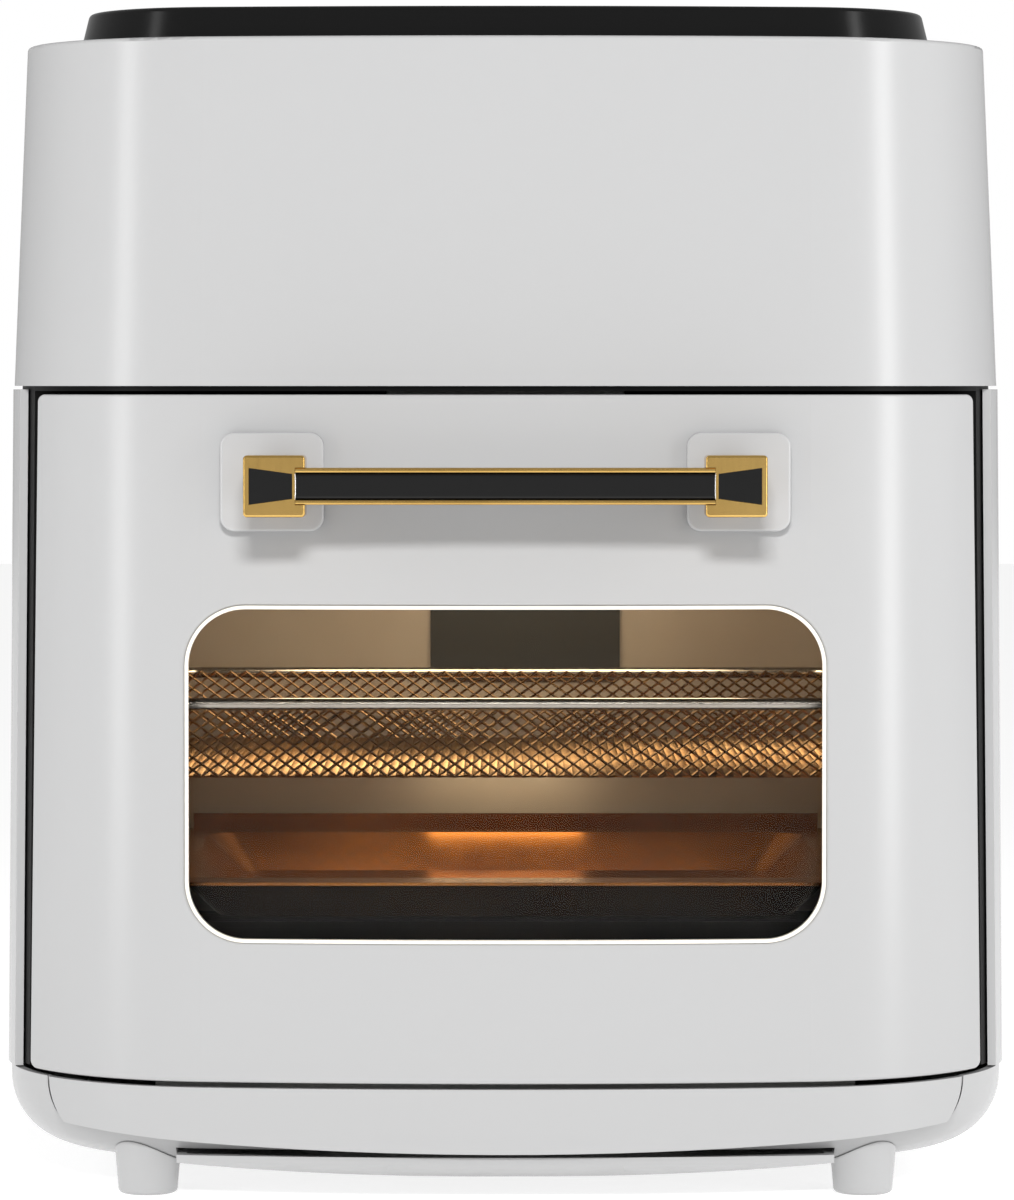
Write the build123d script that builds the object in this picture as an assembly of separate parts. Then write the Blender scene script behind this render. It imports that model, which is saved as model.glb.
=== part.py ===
from build123d import *
from math import cos, radians, sin, sqrt, tan
import os

# A countertop air fryer oven with a drop-down front door. Millimetres, +Z up, front towards -Y.
# Depths named d are measured back from the most forward point of the door.

# Outer form, seen from above
half_width = 163.0
body_depth = 300.0
crown_radius = 800.0
front_corner = 76.0
rear_corner = 32.0
lower_draft = 0.6
upper_draft = 2.46
wall = 2.5
seam = 0.7
slip = 0.1

# Heights
tub_low = 11.0
tub_round = 22.0
tub_step = 1.0
cover_low = 8.0
cover_half = 104.0
cover_front = 4.5
cover_rear = 284.0
cover_play = 0.4
belly_radius = 1400.0
chin_low = 16.0
chin_top = 36.5
chin_half = 146.0
chin_corner = 20.0
chin_arch = 1500.0
chin_depth = 38.0
chin_gap = 1.7
door_height = 216.4
top_gap = 2.7
housing_height = 109.7
housing_step = 0.4
slab_height = 9.7
door_low = chin_top + chin_gap
door_top = door_low + door_height
housing_low = door_top + top_gap
housing_top = housing_low + housing_height
side_low = chin_top + seam
side_top = housing_low - 1.1
side_front = 57.0

# Door, its hinge and its handle
door_half_low = 152.8
door_half_top = 149.6
door_edge_round = 0.8
hinge_d = 11.0
hinge_rise = 18.0
hinge_z = door_low + hinge_rise
hinge_x = 60.0
arm_thick = 4.0
eye_radius = 5.0
pin_radius = 2.5
pin_play = 0.05
pin_reach = 16.0
panel_half = 133.0
panel_low = hinge_z - 4.5
panel_top = door_top - 4.6
panel_rear = 28.0
panel_sheet = 1.5
window_width = 199.4
window_height = 103.8
window_corner = 18.0
window_mid = 135.4
trim_width = 1.2
seal_width = 4.2
glass_thick = 3.0
glass_lap = 6.0
handle_z = 226.6
handle_reach = 36.0
handle_half = 80.3
cap_length = 19.0
cap_height = 19.0
bar_height = 11.3
bar_depth = 12.0
strip_height = 1.6
insert_depth = 1.4
pad_x = 73.0
pad_z = 227.3
pad_width = 32.5
pad_height = 31.0
pad_corner = 4.5
pad_face = 0.6
catch_x = 112.0
catch_z = 246.0
catch_half_width = 8.0
catch_half_height = 2.5
gland_reach = 5.0

# Oven cavity and what slides in it
cavity_half = 125.0
cavity_front = 36.0
cavity_rear = 255.0
cavity_low = 64.0
cavity_top = 238.0
sheet = 1.2
bezel_d = 52.0
bezel_inset = 3.0
bezel_wall = 2.0
nose_d = 34.0
nose_lap = 12.0
nose_half = cavity_half + nose_lap
nose_low = 60.0
nose_top = 250.0
nose_corner = 8.0
rail_reach = 9.0
rail_edge = cavity_half - rail_reach
rail_front = 45.0
rail_rear = 245.0
basket_front = 36.0
basket_rear = 232.0
basket_low = 131.5
rim_z = 155.6
rim_wire = 2.0
rim_lap = 1.0
rim_half = rail_edge + rim_lap
basket_sheet = 1.2
mesh_pitch_x = 6.6
mesh_pitch_z = 5.1
mesh_strand = 1.1
tray_front = 36.5
tray_rear = 250.0
tray_low = 85.0
tray_rim = 98.5
tray_upstand = 5.5
tray_play = 3.0
tray_brim = 15.0
tray_slope = 13.0
tray_half = cavity_half - tray_play
tray_mouth_half = tray_half - tray_brim
tray_floor_half = tray_mouth_half - tray_slope
tray_sheet = 1.0

# Hot air chamber, motor and electrics
fan_d = 145.0
shroud_radius = 100.0
shroud_height = 52.0
mouth_radius = 90.0
element_tube = 3.2
element_lift = 12.0
fan_radius = 72.0
fan_height = 20.0
fan_lift = 24.0
shaft_radius = 3.0
motor_radius = 32.0
motor_height = 34.0
deck_sheet = 1.2
lamp_d = 150.0
lamp_z = 222.0
lamp_radius = 12.0
vent_x = 7.0
vent_half = 34.0
vent_low = 152.0
vent_top = 226.0
probe_x = -70.0
probe_z = 190.0
gland_x = 72.0
gland_z = 76.0
gland_radius = 8.0
board_half = 65.0
board_mid = -35.0
board_rear_gap = 11.0
board_depth = 36.0

# Feet and screws
foot_x = 114.2
foot_front = 30.0
foot_rear = 268.0
foot_top_radius = 10.5
foot_low_radius = 9.35
foot_play = 0.3
boss_top = 24.0
boss_radius = 5.0
screw_radius = 1.7
rear_screw_x = 86.0
rear_screw_rows = (68.0, 239.0)

# The origin is the middle of the footprint, handle and gland included.
front_y = (handle_reach - body_depth - gland_reach) / 2
inner_cap = handle_half - cap_length
handle_screw_places = [(x, handle_z) for x in (-pad_x, pad_x)]
rear_screw_places = [(x, z) for x in (-rear_screw_x, rear_screw_x) for z in rear_screw_rows]
catch_span = (catch_x - catch_half_width, catch_x + catch_half_width)
catch_rise = (catch_z - catch_half_height, catch_z + catch_half_height)
foot_places = [(x, d) for x in (-foot_x, foot_x) for d in (foot_front, foot_rear)]
shroud_low = cavity_top + sheet
shroud_top = shroud_low + shroud_height
motor_low = shroud_top + 5.6


def block(x, d, z):
    """A straight-sided block from its ranges in x, in depth and in z."""
    middle = Pos((x[0] + x[1]) / 2, front_y + (d[0] + d[1]) / 2, (z[0] + z[1]) / 2)
    return middle * Box(x[1] - x[0], d[1] - d[0], z[1] - z[0])


def post(x, d, z, radius):
    """An upright round bar at a place, from its range in z."""
    return Pos(x, front_y + d, (z[0] + z[1]) / 2) * Cylinder(radius, z[1] - z[0])


def bar_back(x, z, d, radius):
    """A round bar that runs front to back, from its range in depth."""
    middle = Pos(x, front_y + (d[0] + d[1]) / 2, z)
    return middle * Rot(90, 0, 0) * Cylinder(radius, d[1] - d[0])


def bar_across(x, d, z, radius):
    """A round bar that runs side to side, from its range in x."""
    middle = Pos((x[0] + x[1]) / 2, front_y + d, z)
    return middle * Rot(0, 90, 0) * Cylinder(radius, x[1] - x[0])


def plan(inset):
    """The outline from above: a crowned front, large front corners and a flat back."""
    width = 2 * (half_width - inset)
    length = body_depth - inset
    outline = Pos(0, front_y + length / 2) * Rectangle(width, length)
    outline &= Pos(0, front_y + crown_radius) * Circle(crown_radius - inset)
    rows = outline.vertices().group_by(Axis.Y)
    outline = fillet(rows[-1], rear_corner - inset)
    rows = outline.vertices().group_by(Axis.Y)
    return fillet(rows[0], front_corner - inset)


def drafted(inset, low, high, draft):
    """The outline carried up with its walls leaning in."""
    return extrude(Pos(0, 0, low) * plan(inset), high - low, taper=draft)


def lower_inset(z):
    """How far the lower body has drawn in at a height."""
    return (z - side_low) * tan(radians(lower_draft))


def lower_form(inset, low, high):
    """The lower body's form, moved in by inset, between two heights."""
    return drafted(inset + lower_inset(low), low, high, lower_draft)


def upper_form(inset, low, high):
    """The upper housing's form, moved in by inset, between two heights."""
    start = lower_inset(housing_low) + housing_step
    drawn = (low - housing_low) * tan(radians(upper_draft))
    return drafted(start + drawn + inset, low, high, upper_draft)


def prism(outline, d):
    """An outline drawn in the front view, carried back through a range of depth."""
    face = Plane.XZ.offset(-(front_y + d[0])) * outline
    return extrude(face, -(d[1] - d[0]))


def outer_rim(solid, core):
    """The edges that bound a skin's outer faces, which are those clear of its core."""
    faces = [f for f in solid.faces() if f.distance_to(core) > wall / 2]
    edges = [e for f in faces for e in f.edges()]
    return [e for e in edges if sum(e.is_same(other) for other in edges) == 1]


def mirrored(shape):
    """A piece and its twin on the other side."""
    return Compound([shape, mirror(shape, Plane.YZ)])


def screw(length):
    """A pan-head screw that points along -Z from the seat of its head."""
    head = Pos(0, 0, 0.6 * screw_radius) * Cylinder(2 * screw_radius, 1.2 * screw_radius)
    shank = Pos(0, 0, -length / 2) * Cylinder(screw_radius, length)
    slot = Pos(0, 0, 1.2 * screw_radius) * Box(4 * screw_radius, 0.8, screw_radius)
    return head + shank - slot


def tub_form(inset):
    """The base's rounded form, moved in by inset."""
    form = extrude(Pos(0, 0, tub_low + inset) * plan(tub_step + inset), chin_top - tub_low - inset)
    return fillet(form.edges().group_by(Axis.Z)[0], tub_round - inset)


def chin_outline(grow):
    """The chin in the front view: rounded lower corners and an arched lower edge."""
    half = chin_half + grow
    low = chin_low - grow
    outline = Pos(0, (low + chin_top + grow) / 2) * Rectangle(2 * half, chin_top + grow - low)
    outline = fillet(outline.vertices().group_by(Axis.Y)[0], chin_corner + grow)
    return outline & Pos(0, low + chin_arch) * Circle(chin_arch)


def base_tub():
    """The base: a rounded pan with an open front for the chin and bosses for the feet."""
    tub = tub_form(0) - tub_form(wall) - block((-140, 140), (0, 280), (chin_top - 1, chin_top + 1))
    tub -= prism(chin_outline(seam), (-5, chin_depth + seam))
    tub -= cover_plan(cover_play, 0, chin_low)
    for x, d in foot_places:
        tub += post(x, d, (tub_low, boss_top), boss_radius) & tub_form(wall / 2)
        tub -= post(x, d, (0, boss_top + 1), screw_radius + slip)
    return tub


def chin_panel():
    """The front strip under the door, hollow behind so that the door's foot can roll in."""
    skin = extrude(Pos(0, 0, 0) * plan(0), chin_top) - extrude(Pos(0, 0, -1) * plan(wall), chin_top + 2)
    return skin & prism(chin_outline(0), (-5, chin_depth))


def belly(radius):
    """A wide cylinder, front to back, whose underside gives the bottom cover its belly."""
    return Pos(0, front_y + body_depth / 2, cover_low + belly_radius) * Rot(90, 0, 0) * Cylinder(radius, 400)


def cover_plan(grow, low, high):
    """The bottom cover's outline from above, carried up."""
    length = (cover_front - grow, cover_rear + grow)
    straight = block((-cover_half - grow, cover_half + grow), length, (low, high))
    return straight & extrude(plan(cover_front - grow), high)


def cover_form():
    """The bottom cover's outer form: crowned in front and bellied downwards."""
    form = cover_plan(0, cover_low, chin_low - 1.6)
    form = fillet(form.edges().group_by(Axis.Z)[0], 4)
    return form & belly(belly_radius)


def bottom_cover():
    """The pan that closes the base from below."""
    hollow = block((-101, 101), (9, 281), (cover_low, 20)) & extrude(plan(8), 40)
    hollow &= belly(belly_radius - wall)
    cover = cover_form() - hollow
    for i in range(9):
        cover -= block((-60, 60), (80 + 16 * i, 84 + 16 * i), (0, 20))
    return cover


def feet():
    """Four tapered feet, each with a well for its screw."""
    made = []
    for x, d in foot_places:
        foot = Pos(x, front_y + d, 10) * Cone(foot_low_radius, foot_top_radius + 0.6, 20)
        foot = fillet(foot.edges().group_by(Axis.Z)[0], 1.6)
        foot -= tub_form(-foot_play)
        foot -= post(x, d, (-1, 7), 4.2)
        foot -= post(x, d, (0, 30), screw_radius + slip)
        made.append(foot)
    return Compound(made)


def foot_screws():
    """A screw up through each foot into its boss."""
    return Compound([Pos(x, front_y + d, 7) * Rot(180, 0, 0) * screw(boss_top - 8) for x, d in foot_places])


def chassis():
    """The steel plate that carries the oven box and the hinge arms."""
    floor = block((-140, 140), (24, 284), (boss_top, boss_top + sheet))
    floor &= extrude(plan(tub_step + wall + 3), 80)
    flange_d = nose_d + 0.8
    front = block((-112, 112), (flange_d, flange_d + sheet), (boss_top, nose_low))
    rear = block((-112, 112), (cavity_rear - 4, cavity_rear - 4 + sheet), (boss_top, cavity_low - sheet))
    return floor + front + rear


def hinge_arms():
    """Two arms that reach forward from the chassis, each with an eye for a hinge pin."""
    x = (hinge_x - arm_thick / 2, hinge_x + arm_thick / 2)
    root = nose_d + 0.8
    arm = block(x, (hinge_d, root), (hinge_z - eye_radius, hinge_z + eye_radius - 2))
    arm += bar_across(x, hinge_d, hinge_z, eye_radius)
    arm += block((x[0] - 6, x[1] + 6), (root - 1.5, root), (hinge_z - 9, hinge_z + 3))
    arm -= bar_across((x[0] - 1, x[1] + 1), hinge_d, hinge_z, pin_radius + pin_play)
    return mirrored(arm)


def side_shell():
    """The wrap that covers both sides and the back."""
    shell = lower_form(0, side_low, side_top) - lower_form(wall, side_low - 1, side_top + 1)
    shell -= block((-200, 200), (-50, side_front), (0, 400))
    shell -= block((-95, 95), (200, 400), (59, 248))
    return shell


def rear_cover():
    """The vented plate in the back, lapped inside the side shell."""
    face = body_depth - lower_inset(248)
    inside = face - wall - 0.6
    plate = block((-95 + 0.4, 95 - 0.4), (inside - 1, face - 0.4), (59.4, 247.6))
    plate += block((-102, 102), (inside - 1.6, inside), (52, 255))
    for row in range(10):
        z = 95 + 9 * row
        plate -= block((-70, -8), (200, 400), (z, z + 4))
        plate -= block((8, 70), (200, 400), (z, z + 4))
    for column in range(11):
        x = vent_x - 30 + 6 * column
        plate -= block((x - 1.5, x + 1.5), (200, 400), (206, 230))
    plate -= bar_back(gland_x, gland_z, (200, 400), gland_radius + slip)
    for x, z in rear_screw_places:
        plate -= bar_back(x, z, (200, 400), screw_radius + slip)
    return plate


def rear_screws():
    """The screws in the back plate."""
    seat = front_y + body_depth - lower_inset(248) - 0.4
    return Compound([Pos(x, seat, z) * Rot(-90, 0, 0) * screw(8) for x, z in rear_screw_places])


def cord_gland():
    """The gland where the mains lead would enter."""
    rear = body_depth + gland_reach
    gland = bar_back(gland_x, gland_z, (body_depth - 12, rear), gland_radius)
    gland += bar_back(gland_x, gland_z, (body_depth - lower_inset(59), rear - 2), gland_radius + 2.5)
    gland = fillet(gland.edges().group_by(Axis.Y)[-1], 1.5)
    return gland - bar_back(gland_x, gland_z, (200, 400), 3.6)


def front_bezel():
    """The black frame behind the door, with a nose around the oven's mouth."""
    full = (side_low + 0.8, housing_low)
    frame = lower_form(bezel_inset, *full) & block((-200, 200), (bezel_d, bezel_d + 23), full)
    inner = (full[0] + bezel_wall, full[1] - bezel_wall)
    hollow = lower_form(bezel_inset + bezel_wall, *inner)
    frame -= hollow & block((-200, 200), (bezel_d + bezel_wall, 400), inner)
    hood = lower_form(bezel_inset, housing_low - 1.6, housing_low)
    frame += hood & block((-200, 200), (-5, bezel_d + bezel_wall), full)
    nose = block((-nose_half, nose_half), (nose_d, bezel_d + 1), (nose_low, nose_top))
    nose = fillet(nose.edges().filter_by(Axis.Y), nose_corner)
    room = nose_half - bezel_wall
    nose_room = (nose_low + bezel_wall, nose_top - bezel_wall)
    inside = block((-room, room), (cavity_front, 100), nose_room)
    inside = fillet(inside.edges().filter_by(Axis.Y), nose_corner - bezel_wall)
    nose -= inside
    frame -= inside
    frame += nose
    frame -= post(0, fan_d, (shroud_low - 1, 400), shroud_radius + 0.6)
    return frame - block((-cavity_half, cavity_half), (0, 100), (cavity_low, cavity_top))


def catch_magnets():
    """Two magnets in the bezel's nose that hold the door shut."""
    return mirrored(block(catch_span, (panel_rear + 0.4, nose_d), catch_rise))


def upper_housing():
    """The white upper shell, with slots in its back for the cooling air."""
    form = upper_form(0, housing_low, housing_top)
    form = fillet(form.edges().group_by(Axis.Z)[-1], 1.2)
    shell = form - upper_form(wall, housing_low - 1, housing_top - wall)
    shell -= block((-60, 60), (60, 200), (housing_top - 5, housing_top + 5))
    for column in range(15):
        x = -56 + 8 * column
        shell -= block((x - 2, x + 2), (200, 400), (285, 330))
    return shell


def slab_plan(inset):
    """The control slab's outline from above."""
    width = 2 * (136.5 - inset)
    outline = Pos(0, front_y + 12 + inset + (246 - 2 * inset) / 2) * Rectangle(width, 246 - 2 * inset)
    outline &= Pos(0, front_y + 12 + 900) * Circle(900 - inset)
    rows = outline.vertices().group_by(Axis.Y)
    outline = fillet(rows[-1], 24 - inset)
    return fillet(outline.vertices().group_by(Axis.Y)[0], 46 - inset)


def panel_frame():
    """The black slab on the roof, hollow below and rebated on top for its glass."""
    slab = extrude(Pos(0, 0, housing_top) * slab_plan(0), slab_height, taper=14)
    slab = fillet(slab.edges().group_by(Axis.Z)[-1], 1.6)
    top = housing_top + slab_height
    slab -= extrude(Pos(0, 0, top - 2) * slab_plan(8), 5)
    slab -= extrude(Pos(0, 0, housing_top - 1) * slab_plan(8), 1 + slab_height - 4.5)
    for x in (-50, 50):
        for d in (40, 110):
            slab += post(x, d, (top - 6.5, top - 4), 3)
    return slab


def panel_glass():
    """The touch glass let into the slab."""
    top = housing_top + slab_height
    return extrude(Pos(0, 0, top - 2) * slab_plan(8.2), 1.9)


def control_board():
    """The touch control board, hung under the slab's top."""
    top = housing_top + slab_height - 6.5
    board = block((-58, 58), (34, 118), (top - 1.6, top))
    for x in (-40, -15, 10, 35):
        board += block((x, x + 9), (60, 74), (top - 3.2, top - 1.6))
    return board


def cavity_liner():
    """The steel oven box, open in front, with its openings for air, lamp and probe."""
    half = cavity_half + sheet
    box = block((-half, half), (cavity_front, cavity_rear + sheet), (cavity_low - sheet, cavity_top + sheet))
    box -= block((-cavity_half, cavity_half), (0, cavity_rear), (cavity_low, cavity_top))
    box -= post(0, fan_d, (cavity_top - 1, cavity_top + 5), mouth_radius)
    box -= bar_across((cavity_half - 1, half + 1), lamp_d, lamp_z, lamp_radius)
    box -= block((vent_x - 30, vent_x + 30), (cavity_rear - 1, 300), (206, 230))
    return box - bar_back(probe_x, probe_z, (cavity_rear - 1, 300), 2 + slip)


def rack_rails(side):
    """One side's rack: a back strip with three ledges."""
    outer = cavity_half - slip
    rack = block((outer - sheet, outer), (rail_front, rail_rear), (tray_rim - 6, 207))
    for level in (tray_rim - tray_sheet - 0.3, rim_z - rim_wire - 0.3, 205):
        rack += block((rail_edge, outer), (rail_front, rail_rear), (level - 1.5, level))
    return rack if side > 0 else mirror(rack, Plane.YZ)


def crumb_tray():
    """The shallow tray on the oven's floor."""
    z = (cavity_low + 0.3, cavity_low + 5)
    tray = block((-120, 120), (42, 248), z)
    return tray - block((-119, 119), (43, 247), (z[0] + 1, z[1] + 1))


def vent_plate():
    """The dark plate on the back wall, slotted over the exhaust."""
    x = (vent_x - vent_half, vent_x + vent_half)
    plate = block(x, (cavity_rear - 2.1, cavity_rear - slip), (vent_low, vent_top))
    plate = fillet(plate.edges().filter_by(Axis.Y), 4)
    for column in range(9):
        mid = vent_x - 24 + 6 * column
        plate -= block((mid - 1.2, mid + 1.2), (200, 300), (206, 222))
    return plate


def exhaust_duct():
    """The duct from the oven box to the back plate."""
    rear = body_depth - lower_inset(248) - wall - 2.3
    duct = block((vent_x - 33, vent_x + 33), (cavity_rear + sheet, rear), (203, 233))
    return duct - block((vent_x - 31.5, vent_x + 31.5), (0, 400), (204.5, 231.5))


def hot_air_shroud():
    """The round can over the oven box in which the fan turns."""
    can = post(0, fan_d, (shroud_low, shroud_top), shroud_radius)
    can = fillet(can.edges().group_by(Axis.Z)[-1], 6)
    room = post(0, fan_d, (shroud_low - 1, shroud_top - sheet), shroud_radius - sheet)
    can -= fillet(room.edges().group_by(Axis.Z)[-1], 6 - sheet)
    return can - post(0, fan_d, (0, 400), 8)


def heater_guard():
    """The perforated disc under the heater."""
    disc = post(0, fan_d, (cavity_top - 1.2, cavity_top - 0.2), mouth_radius + 6)
    holes = []
    for ring in range(1, 7):
        for k in range(6 * ring):
            angle = 360 / (6 * ring) * k
            place = Pos(0, front_y + fan_d) * Rot(0, 0, angle) * Pos(13.5 * ring, 0, cavity_top)
            holes.append(place * Cylinder(4.6, 5))
    return disc - holes


def heating_element():
    """The tube heater: half turns of growing radius, joined end to end."""
    z = shroud_low + element_lift
    middle = front_y + fan_d
    start, turns = 30.0, []
    for k in range(8):
        radius = start + 6 * k
        centre = 0 if k % 2 == 0 else 6
        side = 1 if k % 2 == 0 else -1
        first = (centre - side * radius, middle)
        top = (centre, middle + side * radius)
        last = (centre + side * radius, middle)
        turns.append(ThreePointArc(first + (z,), top + (z,), last + (z,)))
    path = Wire(turns)
    section = Plane(origin=path @ 0, z_dir=path % 0) * Circle(element_tube)
    return sweep(section, path=path)


def element_brackets():
    """Three strips that hold the heater to the can's wall."""
    z = shroud_low + element_lift + element_tube + 0.3
    reach = shroud_radius - sheet - 0.3
    strips = []
    for k in range(3):
        strip = Pos((26 + reach) / 2, 0, z + 0.6) * Box(reach - 26, 8, 1.2)
        strips.append(Pos(0, front_y + fan_d) * Rot(0, 0, 90 + 120 * k) * strip)
    return Compound(strips)


def fan_blade():
    """The centrifugal fan over the heater."""
    z = (shroud_low + fan_lift, shroud_low + fan_lift + fan_height)
    fan = post(0, fan_d, (z[1] - 1.2, z[1]), fan_radius) + post(0, fan_d, z, 9)
    for k in range(8):
        blade = Pos(44, 0, (z[0] + z[1]) / 2) * Rot(0, 0, 25) * Box(48, 1.2, fan_height)
        fan += Pos(0, front_y + fan_d) * Rot(0, 0, 45 * k) * blade
    return fan - post(0, fan_d, (0, 400), shaft_radius + 0.02)


def motor_shaft():
    """The shaft that carries both fans."""
    return post(0, fan_d, (shroud_low + fan_lift - 4, motor_low + motor_height + 14), shaft_radius)


def cooling_fan():
    """The small fan on top of the motor."""
    z = (motor_low + motor_height + 4, motor_low + motor_height + 12)
    fan = post(0, fan_d, z, 7)
    for k in range(6):
        blade = Pos(23, 0, (z[0] + z[1]) / 2) * Rot(25, 0, 0) * Box(34, 12, 1.2)
        fan += Pos(0, front_y + fan_d) * Rot(0, 0, 60 * k) * blade
    return fan - post(0, fan_d, (0, 400), shaft_radius + 0.02)


def motor():
    """The motor's can."""
    can = post(0, fan_d, (motor_low, motor_low + motor_height), motor_radius)
    can = fillet(can.edges().group_by(Axis.Z)[-1], 3)
    return can - post(0, fan_d, (0, 400), 6 + slip)


def shaft_bushes():
    """The two bushes that the shaft turns in."""
    made = []
    for z in (motor_low, motor_low + motor_height - 6):
        bush = post(0, fan_d, (z, z + 6), 6) - post(0, fan_d, (0, 400), shaft_radius + pin_play)
        made.append(bush)
    return Compound(made)


def motor_bracket():
    """The bridge that carries the motor above the can."""
    bridge = block((-60, 60), (fan_d - 30, fan_d + 30), (motor_low - 2, motor_low))
    for x in (-60, 58):
        bridge += block((x, x + 2), (fan_d - 30, fan_d + 30), (shroud_top, motor_low))
    return bridge - post(0, fan_d, (0, 400), 10)


def top_deck():
    """The steel deck between the lower body and the upper housing."""
    inset = lower_inset(housing_low) + housing_step + wall + 0.3
    deck = extrude(Pos(0, 0, housing_low) * plan(inset + 0.1), deck_sheet)
    return deck - post(0, fan_d, (0, 400), shroud_radius + 0.3)


def power_board():
    """The power board on its posts at the back of the deck."""
    low = housing_low + deck_sheet
    rear = body_depth - board_rear_gap
    front = rear - board_depth
    left = board_mid - board_half
    right = board_mid + board_half
    board = block((left, right), (front, rear), (low + 6, low + 7.6))
    for x in (left + 4, right - 4):
        for d in (front + 4, rear - 4):
            board += post(x, d, (low, low + 6), 3)
    board += block((left + 10, left + 38), (front + 5, rear - 5), (low + 7.6, low + 26))
    board += block((left + 46, left + 60), (front + 7, front + 21), (low + 7.6, low + 20))
    board += block((left + 70, right - 20), (front + 9, rear - 9), (low + 7.6, low + 16))
    return board


def door_switch():
    """The switch that stops the heater when the door opens."""
    return block((60, 80), (38, 50), (housing_low + deck_sheet, housing_low + deck_sheet + 10))


def thermal_cutout():
    """The safety cutout on top of the can."""
    cutout = post(45, fan_d + 60, (shroud_top, shroud_top + 7), 8)
    return cutout + block((41, 49), (fan_d + 58, fan_d + 62), (shroud_top + 7, shroud_top + 14))


def lamp_holder():
    """The lamp's socket outside the oven box."""
    wall_x = cavity_half + sheet
    holder = bar_across((wall_x, wall_x + 24), lamp_d, lamp_z, lamp_radius + 3)
    return holder - bar_across((0, wall_x + 21), lamp_d, lamp_z, lamp_radius + 0.2)


def lamp_bulb():
    """The bulb in its socket."""
    wall_x = cavity_half + sheet
    bulb = bar_across((wall_x + 4, wall_x + 16), lamp_d, lamp_z, 6)
    bulb = fillet(bulb.edges().group_by(Axis.X)[0], 5)
    return bulb + bar_across((wall_x + 15, wall_x + 20.9), lamp_d, lamp_z, 8)


def lamp_glass():
    """The glass over the lamp."""
    return bar_across((cavity_half - 1.5, cavity_half + 2.5), lamp_d, lamp_z, lamp_radius - 0.1)


def temperature_probe():
    """The probe that reads the oven's heat through the back wall."""
    probe = bar_back(probe_x, probe_z, (240, 270), 2)
    return probe + bar_back(probe_x, probe_z, (cavity_rear + sheet + 0.1, cavity_rear + sheet + 3), 5)


def door_outline():
    """The door in the front view."""
    corners = [(-door_half_low, door_low), (door_half_low, door_low)]
    corners += [(door_half_top, door_top), (-door_half_top, door_top)]
    outline = make_face(Polyline(*corners, close=True))
    return fillet(outline.vertices(), 2.5)


def window_outline(grow):
    """The window in the front view, grown all round."""
    shape = RectangleRounded(window_width + 2 * grow, window_height + 2 * grow, window_corner + grow)
    return Pos(0, window_mid) * shape


def door_skin():
    """The door's curved outer skin, with its window cut out."""
    high = (door_low - 1, door_top + 1)
    core = lower_form(wall, high[0] - 1, high[1] + 1)
    skin = (lower_form(0, *high) - core) & prism(door_outline(), (-5, side_front))
    skin -= prism(window_outline(trim_width), (-5, 40))
    skin = fillet(outer_rim(skin, core), door_edge_round)
    for x, z in handle_screw_places:
        skin -= bar_back(x, z, (-5, 30), screw_radius + slip)
    return skin


def window_trim():
    """The thin frame in the window's edge."""
    high = (window_mid - window_height, window_mid + window_height)
    band = lower_form(-0.25, *high) - lower_form(wall, high[0] - 1, high[1] + 1)
    return band & prism(window_outline(trim_width - 0.05) - window_outline(0), (-5, 40))


def window_glass_outer():
    """The curved front pane, behind the skin."""
    high = (window_mid - window_height, window_mid + window_height)
    front = wall + slip
    band = lower_form(front, *high) - lower_form(front + glass_thick, high[0] - 1, high[1] + 1)
    return band & prism(window_outline(glass_lap), (-5, 40))


def window_glass_inner():
    """The flat rear pane, in front of the inner panel."""
    rear = panel_rear - panel_sheet - slip
    return prism(window_outline(glass_lap + 4), (rear - glass_thick, rear))


def door_inner_panel():
    """The pan behind the skin, slotted round the hinge arms."""
    high = (panel_low, panel_top)
    pan = block((-panel_half, panel_half), (0, panel_rear), high)
    room = panel_half - panel_sheet
    hollow = (high[0] + panel_sheet, high[1] - panel_sheet)
    pan -= block((-room, room), (-1, panel_rear - panel_sheet), hollow)
    pan &= lower_form(wall + slip, panel_low - 2, panel_top + 2)
    pan -= prism(window_outline(4), (0, 40))
    for x in (-hinge_x, hinge_x):
        slot = arm_thick / 2 + 1.5
        pan -= block((x - slot, x + slot), (0, 40), (0, hinge_z + eye_radius - 1))
    for side in (-1, 1):
        x = sorted((side * (hinge_x - 8), side * (hinge_x + pin_reach + 2)))
        pan -= block(x, (0, panel_rear - panel_sheet), (panel_low - 1, panel_low + panel_sheet + slip))
    width = catch_half_width + slip
    height = catch_half_height + slip
    for x in (-catch_x, catch_x):
        pan -= block((x - width, x + width), (20, 40), (catch_z - height, catch_z + height))
    return pan


def door_seal():
    """The soft ring on the door that closes on the bezel's nose, round the oven's mouth."""
    d = (panel_rear + slip, nose_d - 0.3)
    reach = cavity_half + seal_width + 1.8
    outer = block((-reach, reach), d, (nose_low + 0.6, cavity_top + seal_width + 1))
    room = cavity_half + 1.8
    return outer - block((-room, room), (0, 100), (cavity_low - 1, cavity_top + 1))


def strike_plates():
    """The steel plates that the magnets pull on."""
    return mirrored(block(catch_span, (panel_rear - panel_sheet, panel_rear), catch_rise))


def hinge_brackets():
    """The forked brackets in the door that hold the hinge pins."""
    rear = panel_rear - panel_sheet
    low = hinge_z - 6
    high = hinge_z + eye_radius + 3
    inner = arm_thick / 2 + 0.6
    ears = block((hinge_x - inner - 2, hinge_x + inner + 2), (hinge_d - 3.6, rear), (low, high))
    ears -= block((hinge_x - inner, hinge_x + inner), (0, 40), (low - 1, high - 1.8))
    ears -= bar_across((0, 100), hinge_d, hinge_z, pin_radius + 0.02)
    ears &= lower_form(wall + slip, panel_low - 2, panel_top)
    return mirrored(ears)


def hinge_pins():
    """The pins that the door turns on."""
    return mirrored(bar_across((hinge_x - 6, hinge_x + pin_reach), hinge_d, hinge_z, pin_radius))


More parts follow.
